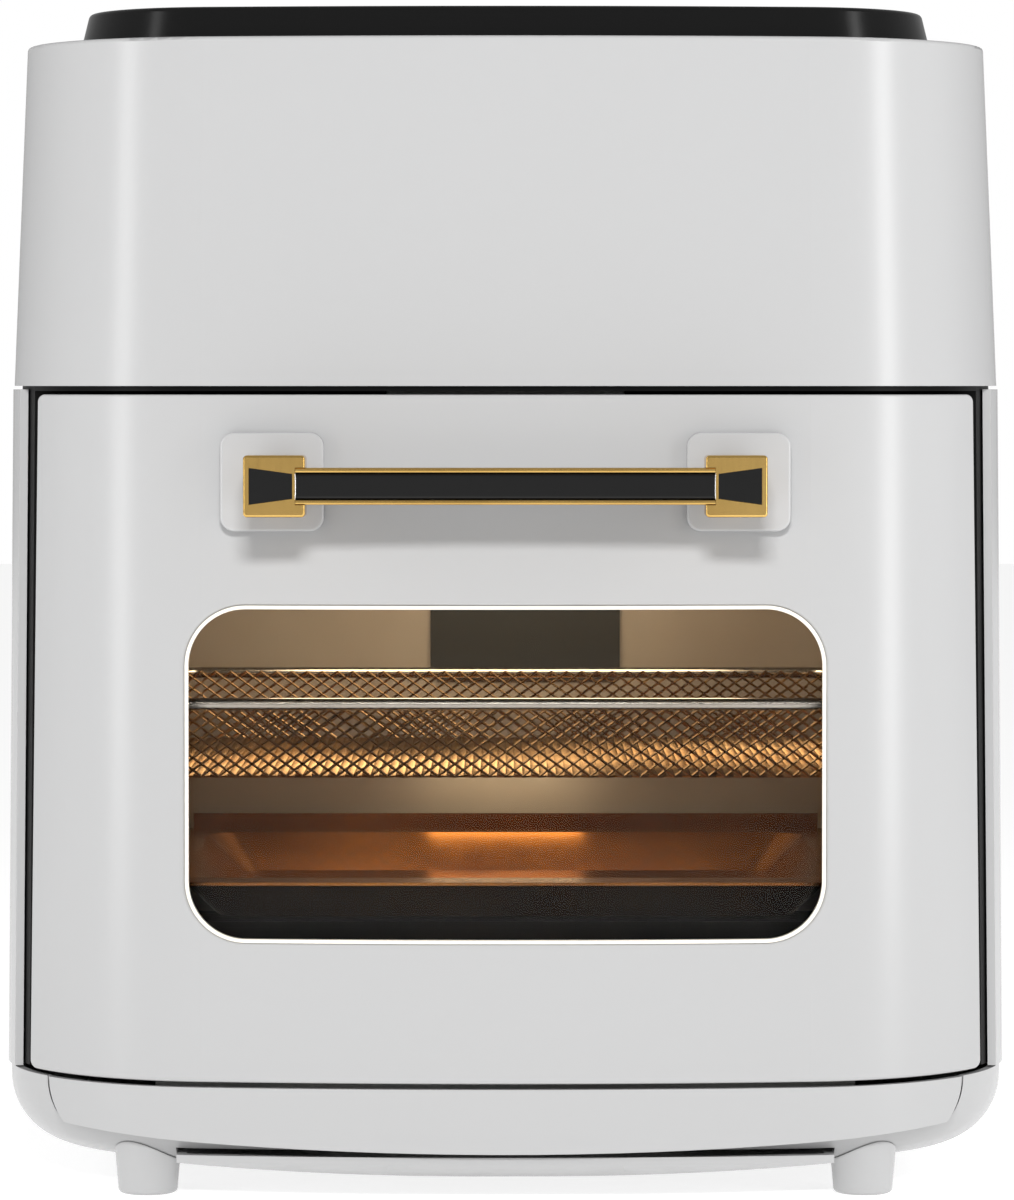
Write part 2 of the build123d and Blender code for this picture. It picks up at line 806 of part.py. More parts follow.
def door_springs():
    """The torsion springs wound round the pins' outer ends."""
    start = hinge_x + arm_thick / 2 + 3.5
    coil = Helix(pitch=1.7, height=8.5, radius=pin_radius + 1.1)
    section = Plane(origin=coil @ 0, z_dir=coil % 0) * Circle(0.6)
    spring = sweep(section, path=coil)
    spring = Pos(start, front_y + hinge_d, hinge_z) * Rot(0, 90, 0) * spring
    return mirrored(spring)


def handle_pads():
    """The raised pads that the handle stands on."""
    outline = Pos(pad_x, pad_z) * RectangleRounded(pad_width, pad_height, pad_corner)
    pad = prism(outline, (pad_face, 20))
    pad = fillet(pad.edges().group_by(Axis.Y)[0], 0.9)
    pad -= lower_form(-slip, pad_z - 30, door_top)
    pad -= bar_back(pad_x, handle_z, (-5, 30), screw_radius + slip)
    return mirrored(pad)


def cap_end(grow):
    """A cap's square in the front view."""
    middle = handle_half - cap_length / 2
    return Pos(middle, handle_z) * RectangleRounded(cap_length + 2 * grow, cap_height + 2 * grow, 1.2)


def insert_outline(grow):
    """The dark inset in a cap: taller at the outer end."""
    outer = handle_half - 1.8 + grow
    inner = handle_half - cap_length + 4.0 - grow
    tall = 5.6 + grow
    short = 3.8 + grow
    corners = [(inner, handle_z - short), (outer, handle_z - tall)]
    corners += [(outer, handle_z + tall), (inner, handle_z + short)]
    return make_face(Polyline(*corners, close=True))


def handle_caps():
    """The gilt end caps that stand on the pads."""
    front = -handle_reach
    cap = prism(cap_end(0), (front, front + bar_depth + 2))
    cap = fillet(cap.edges().group_by(Axis.Y)[0], 0.7)
    neck = prism(cap_end(-2.5), (front + bar_depth, pad_face - slip))
    cap += neck
    cap -= prism(insert_outline(slip), (front - 1, front + insert_depth))
    socket = prism(bar_end(slip), (front - 1, front + bar_depth + 0.2))
    cap -= socket & block((0, inner_cap + 4), (-99, 0), (0, 400))
    cap -= bar_back(pad_x, handle_z, (-16, 2), screw_radius + slip)
    return mirrored(cap)


def bar_end(grow):
    """The bar's height over the cap, in the front view."""
    width = 2 * (inner_cap + 3)
    return Pos(0, handle_z) * Rectangle(width + 2 * grow, bar_height + 2 * grow)


def handle_bar():
    """The black grip between the caps."""
    core = bar_height / 2 - strip_height
    front = -handle_reach + 0.5
    half = inner_cap + 3
    bar = block((-half, half), (front, front + bar_depth - 0.5), (handle_z - core, handle_z + core))
    return fillet(bar.edges().filter_by(Axis.X), 1.0)


def handle_strips():
    """The gilt strips along the bar's upper and lower edges."""
    core = bar_height / 2 - strip_height + slip
    half = inner_cap + 3
    front = -handle_reach + 0.2
    rear = front + bar_depth - 0.2
    upper = block((-half, half), (front, rear), (handle_z + core, handle_z + bar_height / 2))
    upper = fillet(upper.edges().filter_by(Axis.X), 0.5)
    lower = block((-half, half), (front, rear), (handle_z - bar_height / 2, handle_z - core))
    lower = fillet(lower.edges().filter_by(Axis.X), 0.5)
    return Compound([upper, lower])


def cap_inserts():
    """The black faces let into the caps."""
    front = -handle_reach + 0.3
    return mirrored(prism(insert_outline(0), (front, -handle_reach + insert_depth)))


def handle_screws():
    """The screws that hold the handle from inside the door."""
    made = []
    for x, z in handle_screw_places:
        seat = front_y + 8.5
        made.append(Pos(x, seat, z) * Rot(-90, 0, 0) * screw(22))
    return Compound(made)


def basket_mesh():
    """The basket's body; its front wall is cut as a diamond net."""
    half = rim_half - rim_wire - 0.5
    front = basket_front + 2 * rim_wire
    rear = basket_rear - 2 * rim_wire
    top = rim_z + 1
    body = block((-half, half), (front, rear), (basket_low, top))
    body = fillet(body.edges().filter_by(Axis.Z), 6)
    room = half - basket_sheet
    depth = (front + basket_sheet, rear - basket_sheet)
    inside = block((-room, room), depth, (basket_low + basket_sheet, top + 1))
    body -= fillet(inside.edges().filter_by(Axis.Z), 6 - basket_sheet)
    rows = int((top - basket_low - 5) / mesh_pitch_z * 2)
    columns = int((2 * half - 16) / mesh_pitch_x)
    gaps = []
    for row in range(rows):
        shift = row % 2
        for column in range(columns - shift):
            x = (column - (columns - 1 - shift) / 2) * mesh_pitch_x
            z = basket_low + 3.4 + (row + 0.5) * mesh_pitch_z / 2
            a = (mesh_pitch_x - mesh_strand * 1.6) / 2
            b = (mesh_pitch_z - mesh_strand * 1.4) / 2
            gap = make_face(Polyline((x - a, z), (x, z - b), (x + a, z), (x, z + b), close=True))
            gaps.append(prism(gap, (front - 2, front + basket_sheet + 1)))
    print("basket gaps", len(gaps))
    return body - gaps


def basket_rim():
    """The wire round the basket's mouth."""
    depth = basket_rear - basket_front - 2 * rim_wire
    middle = front_y + (basket_front + basket_rear) / 2
    outline = Pos(0, middle, rim_z) * RectangleRounded(2 * rim_half, depth, 8)
    path = outline.wire()
    section = Plane(origin=path @ 0, z_dir=path % 0) * Circle(rim_wire)
    return sweep(section, path=path)


def baking_tray():
    """The tray: sloping walls, a flat rim and an upstand at the back."""
    high = tray_rim - tray_low
    slope = (tray_mouth_half - tray_floor_half) / high
    outer = tray_pan(0, tray_low, high, slope)
    rim = block((-tray_half, tray_half), (tray_front, tray_rear), (tray_rim - tray_sheet, tray_rim))
    rim = fillet(rim.edges().filter_by(Axis.Z), 10)
    tray = outer + rim
    tray -= tray_pan(tray_sheet, tray_low + tray_sheet, high, slope)
    reach = tray_half - 10
    back = block((-reach, reach), (tray_rear - tray_sheet, tray_rear), (tray_rim, tray_rim + tray_upstand))
    return tray + back


def tray_pan(inset, low, high, slope):
    """The tray's sloping well, moved in by inset."""
    run = slope * high
    middle = front_y + (tray_front + tray_rear) / 2
    depth = tray_rear - tray_front - 2 * (tray_half - tray_mouth_half)
    floor = RectangleRounded(2 * (tray_floor_half - inset), depth - 2 * run - 2 * inset, 10)
    mouth = RectangleRounded(2 * (tray_mouth_half - inset), depth - 2 * inset, 14)
    lower = Pos(0, middle, low) * floor
    upper = Pos(0, middle, low + high) * mouth
    return loft([lower, upper])


pieces = {
    "base_tub": base_tub,
    "chin_panel": chin_panel,
    "bottom_cover": bottom_cover,
    "feet": feet,
    "foot_screws": foot_screws,
    "chassis": chassis,
    "hinge_arms": hinge_arms,
    "side_shell": side_shell,
    "rear_cover": rear_cover,
    "rear_screws": rear_screws,
    "cord_gland": cord_gland,
    "front_bezel": front_bezel,
    "catch_magnets": catch_magnets,
    "upper_housing": upper_housing,
    "panel_frame": panel_frame,
    "panel_glass": panel_glass,
    "control_board": control_board,
    "cavity_liner": cavity_liner,
    "left_rack_rails": lambda: rack_rails(-1),
    "right_rack_rails": lambda: rack_rails(1),
    "crumb_tray": crumb_tray,
    "vent_plate": vent_plate,
    "exhaust_duct": exhaust_duct,
    "hot_air_shroud": hot_air_shroud,
    "heater_guard": heater_guard,
    "heating_element": heating_element,
    "element_brackets": element_brackets,
    "fan_blade": fan_blade,
    "motor_shaft": motor_shaft,
    "cooling_fan": cooling_fan,
    "motor": motor,
    "shaft_bushes": shaft_bushes,
    "motor_bracket": motor_bracket,
    "top_deck": top_deck,
    "power_board": power_board,
    "door_switch": door_switch,
    "thermal_cutout": thermal_cutout,
    "lamp_holder": lamp_holder,
    "lamp_bulb": lamp_bulb,
    "lamp_glass": lamp_glass,
    "temperature_probe": temperature_probe,
    "door_skin": door_skin,
    "window_trim": window_trim,
    "window_glass_outer": window_glass_outer,
    "window_glass_inner": window_glass_inner,
    "door_inner_panel": door_inner_panel,
    "door_seal": door_seal,
    "strike_plates": strike_plates,
    "hinge_brackets": hinge_brackets,
    "hinge_pins": hinge_pins,
    "door_springs": door_springs,
    "handle_pads": handle_pads,
    "handle_caps": handle_caps,
    "handle_bar": handle_bar,
    "handle_strips": handle_strips,
    "cap_inserts": cap_inserts,
    "handle_screws": handle_screws,
    "basket_mesh": basket_mesh,
    "basket_rim": basket_rim,
    "baking_tray": baking_tray,
}

os.makedirs("parts", exist_ok=True)
for name, make in pieces.items():
    export_step(make(), f"parts/{name}.step")
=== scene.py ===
import math

import bmesh
import bpy
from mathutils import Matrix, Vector


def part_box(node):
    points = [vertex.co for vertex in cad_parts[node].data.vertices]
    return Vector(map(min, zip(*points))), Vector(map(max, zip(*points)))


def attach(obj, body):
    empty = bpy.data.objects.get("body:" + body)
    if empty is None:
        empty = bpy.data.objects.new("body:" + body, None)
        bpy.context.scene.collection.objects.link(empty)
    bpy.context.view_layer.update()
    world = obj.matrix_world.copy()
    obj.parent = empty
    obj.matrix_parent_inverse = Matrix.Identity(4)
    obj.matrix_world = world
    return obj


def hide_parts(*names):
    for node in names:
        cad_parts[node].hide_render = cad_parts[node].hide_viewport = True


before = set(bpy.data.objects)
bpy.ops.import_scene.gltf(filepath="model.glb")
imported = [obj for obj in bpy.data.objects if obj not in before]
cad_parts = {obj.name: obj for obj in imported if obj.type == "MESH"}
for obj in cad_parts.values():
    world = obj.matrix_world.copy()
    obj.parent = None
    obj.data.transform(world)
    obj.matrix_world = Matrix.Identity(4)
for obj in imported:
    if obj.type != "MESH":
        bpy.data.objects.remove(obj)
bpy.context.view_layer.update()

# The carrying frame is folded and pressed sheet steel: the chassis under the oven box, the deck over it,
# the door's inner panel and the brackets between them. The sheet keeps the fine grain it got in the roll.
mm = 0.001


def shader(name, sockets):
    """A material and its Principled shader, with plain values set on the shader's own sockets."""
    made = bpy.data.materials.new(name)
    made.use_nodes = True
    principled = made.node_tree.nodes["Principled BSDF"]
    for socket, value in sockets.items():
        principled.inputs[socket].default_value = value
    return made, made.node_tree, principled


def rolled_steel(name, tone, stain, roughness, grain=(4, 4, 260), metallic=1.0):
    """Sheet steel with a drawn grain, and slow shifts between a clean tone and a stained one."""
    made, tree, principled = shader(name, {"Metallic": metallic})
    add, link = tree.nodes.new, tree.links.new
    place = add("ShaderNodeTexCoord")
    stretch = add("ShaderNodeMapping")
    stretch.inputs["Scale"].default_value = grain
    lines = add("ShaderNodeTexNoise")
    lines.inputs["Scale"].default_value = 6
    lines.inputs["Detail"].default_value = 4
    clouds = add("ShaderNodeTexNoise")
    clouds.inputs["Scale"].default_value = 9
    clouds.inputs["Detail"].default_value = 5
    mix = add("ShaderNodeMix")
    mix.data_type = "RGBA"
    mix.inputs["A"].default_value = (*tone, 1)
    mix.inputs["B"].default_value = (*stain, 1)
    spread = add("ShaderNodeMapRange")
    spread.inputs["From Min"].default_value = 0.38
    spread.inputs["From Max"].default_value = 0.72
    rough = add("ShaderNodeMapRange")
    rough.inputs["To Min"].default_value = roughness * 0.75
    rough.inputs["To Max"].default_value = roughness * 1.3
    bump = add("ShaderNodeBump")
    bump.inputs["Strength"].default_value = 0.12
    bump.inputs["Distance"].default_value = 0.1 * mm
    link(place.outputs["Object"], stretch.inputs["Vector"])
    link(stretch.outputs["Vector"], lines.inputs["Vector"])
    link(place.outputs["Object"], clouds.inputs["Vector"])
    link(clouds.outputs["Fac"], spread.inputs["Value"])
    link(spread.outputs["Result"], mix.inputs["Factor"])
    link(mix.outputs["Result"], principled.inputs["Base Color"])
    link(lines.outputs["Fac"], rough.inputs["Value"])
    link(rough.outputs["Result"], principled.inputs["Roughness"])
    link(lines.outputs["Fac"], bump.inputs["Height"])
    link(bump.outputs["Normal"], principled.inputs["Normal"])
    return made


def finish_nodes(names, material):
    """Gives CAD nodes a material through their own slots."""
    for name in names:
        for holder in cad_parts[name].material_slots:
            holder.material = material


frame_steel = rolled_steel("frame_steel", tone=(0.50, 0.50, 0.49), stain=(0.38, 0.37, 0.36), roughness=0.38)
carriers = ["chassis", "hinge_arms", "hinge_brackets", "top_deck", "motor_bracket", "exhaust_duct"]
carriers += ["hot_air_shroud", "door_inner_panel", "element_brackets", "strike_plates"]
finish_nodes(carriers, frame_steel)

# The oven box is a steel liner gone warm with use. Racks on both sides hold basket and tray,
# a near-black plate stands on the back wall, and an enamelled tray on the floor takes the crumbs.
oven_steel = rolled_steel("oven_steel", tone=(0.40, 0.38, 0.36), stain=(0.30, 0.27, 0.24), roughness=0.5,
                          grain=(260, 4, 4), metallic=0.3)
finish_nodes(["cavity_liner"], oven_steel)
rail_steel = rolled_steel("rail_steel", tone=(0.42, 0.33, 0.22), stain=(0.25, 0.17, 0.10), roughness=0.35,
                          grain=(4, 200, 4), metallic=0.8)
finish_nodes(["left_rack_rails", "right_rack_rails", "heater_guard"], rail_steel)
# Near-black steel for the plate on the back wall.
back_plate_dark = rolled_steel("back_plate_dark", tone=(0.03, 0.035, 0.04), stain=(0.02, 0.022, 0.025), roughness=0.5,
                         grain=(4, 4, 120), metallic=0.3)
finish_nodes(["vent_plate"], back_plate_dark)


def socket_list(group, inputs, outputs):
    """Gives a node group its named inputs and outputs."""
    for name, kind, value in inputs:
        socket = group.interface.new_socket(name, in_out="INPUT", socket_type=kind)
        socket.default_value = value
    for name, kind in outputs:
        group.interface.new_socket(name, in_out="OUTPUT", socket_type=kind)


def mould_finish_group():
    """A smooth coat or moulding: slow shifts of colour and gloss, and a fine ripple."""
    group = bpy.data.node_groups.new("mould_finish", "ShaderNodeTree")
    inputs = [("Tone", "NodeSocketColor", (0.8, 0.8, 0.8, 1)), ("Shift", "NodeSocketFloat", 0.02)]
    inputs += [("Gloss", "NodeSocketFloat", 0.25), ("Gloss Shift", "NodeSocketFloat", 0.02)]
    inputs += [("Ripple Scale", "NodeSocketFloat", 300.0)]
    outputs = [("Color", "NodeSocketColor"), ("Roughness", "NodeSocketFloat"), ("Height", "NodeSocketFloat")]
    socket_list(group, inputs, outputs)
    add, link = group.nodes.new, group.links.new
    given, out = add("NodeGroupInput"), add("NodeGroupOutput")
    place = add("ShaderNodeTexCoord")
    slow = add("ShaderNodeTexNoise")
    slow.inputs["Scale"].default_value = 14
    slow.inputs["Detail"].default_value = 3
    fine = add("ShaderNodeTexNoise")
    fine.inputs["Detail"].default_value = 2
    centred = add("ShaderNodeMath")
    centred.operation = "SUBTRACT"
    centred.inputs[1].default_value = 0.5
    shift = add("ShaderNodeMath")
    shift.operation = "MULTIPLY_ADD"
    shift.inputs[2].default_value = 1
    tone = add("ShaderNodeVectorMath")
    tone.operation = "SCALE"
    gloss = add("ShaderNodeMath")
    gloss.operation = "MULTIPLY_ADD"
    link(place.outputs["Object"], slow.inputs["Vector"])
    link(place.outputs["Object"], fine.inputs["Vector"])
    link(given.outputs["Ripple Scale"], fine.inputs["Scale"])
    link(slow.outputs["Fac"], centred.inputs[0])
    link(centred.outputs[0], shift.inputs[0])
    link(given.outputs["Shift"], shift.inputs[1])
    link(given.outputs["Tone"], tone.inputs[0])
    link(shift.outputs[0], tone.inputs["Scale"])
    link(centred.outputs[0], gloss.inputs[0])
    link(given.outputs["Gloss Shift"], gloss.inputs[1])
    link(given.outputs["Gloss"], gloss.inputs[2])
    link(tone.outputs[0], out.inputs["Color"])
    link(gloss.outputs[0], out.inputs["Roughness"])
    link(fine.outputs["Fac"], out.inputs["Height"])
    return group


mould_finish = mould_finish_group()


def moulded(name, tone, gloss, shift=0.03, ripple=260, lift=0.02, sockets=None):
    """A plastic, enamel, rubber or glass that carries the mould's finish."""
    made, tree, principled = shader(name, sockets or {})
    surface = tree.nodes.new("ShaderNodeGroup")
    surface.node_tree = mould_finish
    surface.inputs["Tone"].default_value = (*tone, 1)
    surface.inputs["Shift"].default_value = shift
    surface.inputs["Gloss"].default_value = gloss
    surface.inputs["Ripple Scale"].default_value = ripple
    bump = tree.nodes.new("ShaderNodeBump")
    bump.inputs["Strength"].default_value = lift
    bump.inputs["Distance"].default_value = 0.2 * mm
    tree.links.new(surface.outputs["Color"], principled.inputs["Base Color"])
    tree.links.new(surface.outputs["Roughness"], principled.inputs["Roughness"])
    tree.links.new(surface.outputs["Height"], bump.inputs["Height"])
    tree.links.new(bump.outputs["Normal"], principled.inputs["Normal"])
    return made


dark_enamel = moulded("dark_enamel", tone=(0.006, 0.003, 0.003), gloss=0.4, shift=0.6, ripple=120, lift=0.05)
finish_nodes(["crumb_tray"], dark_enamel)

# The heater and its fan hang in the chamber over the oven box: a dark bent tube, a pressed aluminium fan,
# and the motor above it on a shaft that runs in two bronze bushes.
heater_tube = rolled_steel("heater_tube", tone=(0.12, 0.09, 0.08), stain=(0.06, 0.045, 0.04), roughness=0.5,
                           grain=(30, 30, 30), metallic=0.7)
finish_nodes(["heating_element"], heater_tube)
fan_metal = rolled_steel("fan_metal", tone=(0.72, 0.72, 0.72), stain=(0.58, 0.58, 0.58), roughness=0.32,
                         grain=(40, 40, 200))
finish_nodes(["fan_blade"], fan_metal)
bush_bronze = rolled_steel("bush_bronze", tone=(0.55, 0.36, 0.16), stain=(0.38, 0.24, 0.10), roughness=0.4,
                           grain=(50, 50, 50))
finish_nodes(["shaft_bushes"], bush_bronze)
dark_plastic = moulded("dark_plastic", tone=(0.018, 0.018, 0.019), gloss=0.5, shift=0.3, ripple=500,
                       lift=0.15)
finish_nodes(["cord_gland", "door_switch", "thermal_cutout", "cooling_fan", "motor"], dark_plastic)
board_green = moulded("board_green", tone=(0.02, 0.12, 0.05), gloss=0.35, shift=0.5, ripple=700, lift=0.2)
finish_nodes(["control_board", "power_board"], board_green)

# The lamp sits high in the oven's right wall. Its bulb stands in a ceramic holder, behind a round glass
# that is held in the liner, and glows warm.
lamp_ceramic = moulded("lamp_ceramic", tone=(0.75, 0.72, 0.66), gloss=0.3, shift=0.08, ripple=200, lift=0.05)
finish_nodes(["lamp_holder"], lamp_ceramic)
bulb_sockets = {"Emission Color": (1.0, 0.66, 0.30, 1), "Emission Strength": 6}
bulb_glow = moulded("bulb_glow", tone=(1.0, 0.82, 0.5), gloss=0.2, sockets=bulb_sockets)
finish_nodes(["lamp_bulb"], bulb_glow)

# Screws, pins, springs, the shaft and the probe are bright drawn or turned steel.
# The magnets that hold the door shut are nickel plated.
screw_steel = rolled_steel("screw_steel", tone=(0.62, 0.62, 0.63), stain=(0.45, 0.45, 0.46), roughness=0.28,
                           grain=(60, 60, 60))
turned_parts = ["foot_screws", "rear_screws", "handle_screws", "hinge_pins", "door_springs", "motor_shaft"]
finish_nodes(turned_parts + ["temperature_probe"], screw_steel)
magnet_nickel = rolled_steel("magnet_nickel", tone=(0.35, 0.35, 0.36), stain=(0.25, 0.25, 0.26),
                             roughness=0.3, grain=(30, 30, 30))
finish_nodes(["catch_magnets"], magnet_nickel)

# The white shells are glossy moulded plastic: the upper housing, the wrap round the sides and back,
# the base with its chin, cover and feet, and the door's skin. The back plate is a duller, textured white.
white_plastic = moulded("white_plastic", tone=(0.385, 0.385, 0.387), gloss=0.24, shift=0.01)
white_shells = ["upper_housing", "side_shell", "base_tub", "chin_panel", "bottom_cover", "feet", "door_skin"]
finish_nodes(white_shells, white_plastic)
cover_plastic = moulded("cover_plastic", tone=(0.62, 0.62, 0.625), gloss=0.42, shift=0.04, ripple=500,
                        lift=0.12)
finish_nodes(["rear_cover"], cover_plastic)

# The black slab on the roof carries the touch panel. Its frame is high-gloss black plastic,
# and the dark glass let into it is printed from behind.
black_gloss = moulded("black_gloss", tone=(0.003, 0.003, 0.003), gloss=0.2, shift=0.2, ripple=180, lift=0.01,
                      sockets={"Specular IOR Level": 0.28})
finish_nodes(["panel_frame"], black_gloss)
panel_glass = moulded("panel_glass_dark", tone=(0.008, 0.008, 0.010), gloss=0.07, shift=0.2, ripple=60,
                      lift=0.004, sockets={"Coat Weight": 0.6})
finish_nodes(["panel_glass"], panel_glass)

# The touch marks are thin pale prints on the glass. Seven ringed keys stand along the front,
# then four blank digits, then a row of dots for the levels.
glass_low, glass_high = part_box("panel_glass")
mark_lift = 0.03 * mm
mark_thick = 0.04 * mm
mark_z = glass_high.z + mark_lift
key_row = glass_low.y + 34 * mm
digit_row = glass_low.y + 74 * mm
dot_row = glass_low.y + 112 * mm
key_count = 7
key_pitch = 27 * mm
key_ring = (7.2 * mm, 7.8 * mm)
power_ring = (2.6 * mm, 3.2 * mm)
power_gap = 60
power_start = 120
sign_line = 0.6 * mm
power_stroke = 3.2 * mm
sign_width = 5.6 * mm
plus_arm = 2.4 * mm
plus_arm_mid = 1.6 * mm
bars_pitch = 2.2 * mm
bars_line = 0.7 * mm
bars_length = 4.6 * mm
digit_pitch = 15 * mm
digit_split = 2 * mm
digit_line = 1.1 * mm
digit_rise = 8.4 * mm
digit_side = 4.2 * mm
digit_width = 6.4 * mm
digit_height = 6.2 * mm
dot_count = 12
dot_pitch = 16 * mm
dot_radius = 1.3 * mm


def add_flat(shape, corners, z):
    """A thin plate from its corners, added to a mesh being built."""
    low = [shape.verts.new((x, y, z)) for x, y in corners]
    high = [shape.verts.new((x, y, z + mark_thick)) for x, y in corners]
    count = len(corners)
    shape.faces.new(high)
    shape.faces.new(low[::-1])
    for i in range(count):
        j = (i + 1) % count
        shape.faces.new((low[i], low[j], high[j], high[i]))


def add_arc(shape, x, y, ring, start=0, sweep=360, steps=36):
    """A ring or part of one from its inner and outer radius, as a row of thin plates."""
    inner, outer = ring
    for i in range(steps):
        a, b = (math.radians(start + sweep * k / steps) for k in (i, i + 1))
        turns = ((inner, a), (outer, a), (outer, b), (inner, b))
        add_flat(shape, [(x + r * math.cos(t), y + r * math.sin(t)) for r, t in turns], mark_z)


def add_bar(shape, x, y, width, depth):
    """A rectangular mark."""
    half_w, half_d = width / 2, depth / 2
    add_flat(shape, [(x - half_w, y - half_d), (x + half_w, y - half_d),
                     (x + half_w, y + half_d), (x - half_w, y + half_d)], mark_z)


def new_piece(name, shape, material, body, smooth=None):
    """Turns a built mesh into a piece that rides on a body."""
    bmesh.ops.recalc_face_normals(shape, faces=shape.faces)
    mesh = bpy.data.meshes.new(name)
    shape.to_mesh(mesh)
    shape.free()
    piece = bpy.data.objects.new(name, mesh)
    bpy.context.scene.collection.objects.link(piece)
    mesh.materials.append(material)
    if smooth is not None:
        mesh.polygons.foreach_set("use_smooth", [True] * len(mesh.polygons))
        mesh.set_sharp_from_angle(angle=math.radians(smooth))
    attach(piece, body)
    return piece


marks = bmesh.new()
for k in range(key_count):
    add_arc(marks, (k - (key_count - 1) / 2) * key_pitch, key_row, key_ring)
add_arc(marks, 0, key_row, power_ring, power_start, 360 - power_gap, 20)
add_bar(marks, 0, key_row + power_ring[0], sign_line, power_stroke)
for place in (-1, 1, -3, 3):
    add_bar(marks, place * key_pitch, key_row, sign_width, sign_line)
for place in (1, 3):
    add_bar(marks, place * key_pitch, key_row + plus_arm_mid, sign_line, plus_arm)
    add_bar(marks, place * key_pitch, key_row - plus_arm_mid, sign_line, plus_arm)
for place in (-2, 2):
    for k in (-1, 0, 1):
        add_bar(marks, place * key_pitch + k * bars_pitch, key_row, bars_line, bars_length)
for digit in range(4):
    x = (digit - 1.5) * digit_pitch + (digit_split if digit > 1 else -digit_split)
    for row in (-1, 0, 1):
        add_bar(marks, x, digit_row + row * digit_rise, digit_width, digit_line)
    for side in (-1, 1):
        for row in (-0.5, 0.5):
            add_bar(marks, x + side * digit_side, digit_row + row * digit_rise, digit_line, digit_height)
for k in range(dot_count):
    add_arc(marks, (k - (dot_count - 1) / 2) * dot_pitch, dot_row, (0, dot_radius), steps=16)
mark_print = moulded("mark_print", tone=(0.42, 0.43, 0.45), gloss=0.4)
touch_marks = new_piece("touch_marks", marks, mark_print, "housing")

# The black bezel frames the oven's mouth behind the door, and shows as a strip on each side of it
# and a line above it. It is moulded black plastic, duller than the slab.
bezel_black = moulded("bezel_black", tone=(0.002, 0.002, 0.002), gloss=0.4, shift=0.2, ripple=200, lift=0.02,
                      sockets={"Specular IOR Level": 0.12})
finish_nodes(["front_bezel"], bezel_black)

# The door's window has two panes of clear tempered glass, and a pale frame lines its edge.
# A dark silicone ring behind it closes the oven's mouth. The lamp's cover is the same clear glass.
pane_sockets = {"Transmission Weight": 1.0, "IOR": 1.12, "Metallic": 0.0}
pane_glass = moulded("pane_glass", tone=(0.90, 0.88, 0.85), gloss=0.015, shift=0.01, ripple=20, lift=0.001,
                     sockets=pane_sockets)
finish_nodes(["window_glass_outer", "window_glass_inner", "lamp_glass"], pane_glass)
trim_cream = moulded("trim_cream", tone=(0.78, 0.74, 0.66), gloss=0.25)
finish_nodes(["window_trim"], trim_cream)
seal_rubber = moulded("seal_rubber", tone=(0.02, 0.018, 0.018), gloss=0.6, shift=0.3, ripple=400, lift=0.25)
finish_nodes(["door_seal"], seal_rubber)

# The handle stands on two raised pads in the door's white. Its grip is black between two gilt strips,
# and two gilt end caps with black faces hold it to the pads.
pad_plastic = moulded("pad_plastic", tone=(0.40, 0.40, 0.403), gloss=0.16, shift=0.01)
finish_nodes(["handle_pads"], pad_plastic)
gilt = rolled_steel("gilt", tone=(0.72, 0.47, 0.15), stain=(0.50, 0.30, 0.08), roughness=0.18,
                    grain=(120, 12, 12))
finish_nodes(["handle_caps", "handle_strips"], gilt)
grip_black = moulded("grip_black", tone=(0.003, 0.003, 0.003), gloss=0.3, shift=0.2, ripple=300, lift=0.03,
                     sockets={"Specular IOR Level": 0.3})
finish_nodes(["handle_bar", "cap_inserts"], grip_black)

# A slim polished ring closes each cap where the grip enters it. Its pale tone is a painted highlight for the
# glint on the joint's bevel.
# Only its front shows, as a bright upright line, so the front is the part that is made.
caps_low, caps_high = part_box("handle_caps")
glint_x = 64.5 * mm
glint_half = 4.1 * mm
glint_radius = 0.5 * mm
glint_front = caps_low.y + 0.05 * mm
glint_rear = glint_front + 2.4 * glint_radius
glint_z = (caps_low.z + caps_high.z) / 2
glint_steps = 12
round_steps = 10


def add_glint_front(shape, x):
    """An upright half-round bar with rounded ends."""
    rings = []
    for k in range(glint_steps + 1):
        along = -1 + 2 * k / glint_steps
        swell = glint_radius * max(0.12, (1 - along ** 6)) ** 0.5
        corners = [(x + swell * math.cos(a), glint_front + glint_radius - swell * math.sin(a))
                   for a in (math.pi * j / round_steps for j in range(round_steps + 1))]
        corners += [(x - swell, glint_rear), (x + swell, glint_rear)]
        rings.append([shape.verts.new((u, v, glint_z + glint_half * along)) for u, v in corners])
    for low, high in zip(rings, rings[1:]):
        for j in range(len(low)):
            i = (j + 1) % len(low)
            shape.faces.new((low[j], low[i], high[i], high[j]))
    shape.faces.new(rings[0][::-1])
    shape.faces.new(rings[-1])


glint_fronts = bmesh.new()
for x in (-glint_x, glint_x):
    add_glint_front(glint_fronts, x)
# Bright polished steel whose pale tone paints the highlight on the joint's bevel.
glint_steel = rolled_steel("glint_steel", tone=(0.80, 0.80, 0.80), stain=(0.66, 0.66, 0.67), roughness=0.2,
                          grain=(20, 20, 120))
cap_glints = new_piece("cap_glints", glint_fronts, glint_steel, "door", smooth=40)

# The basket is expanded steel: one sheet slit and stretched into diamonds, folded into a box
# and hung from a wire rim. The net is built strand by strand, wall by wall.
basket_low, basket_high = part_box("basket_mesh")
net_pitch = 5.4 * mm
net_rise = 4.15 * mm
net_inset = 0.8 * mm
net_top_inset = 0.6 * mm
strand_half = 0.42 * mm
strand_tilt = 0.16 * mm
strand_depth = 1.2 * strand_half
strand_lap = 0.5 * strand_half


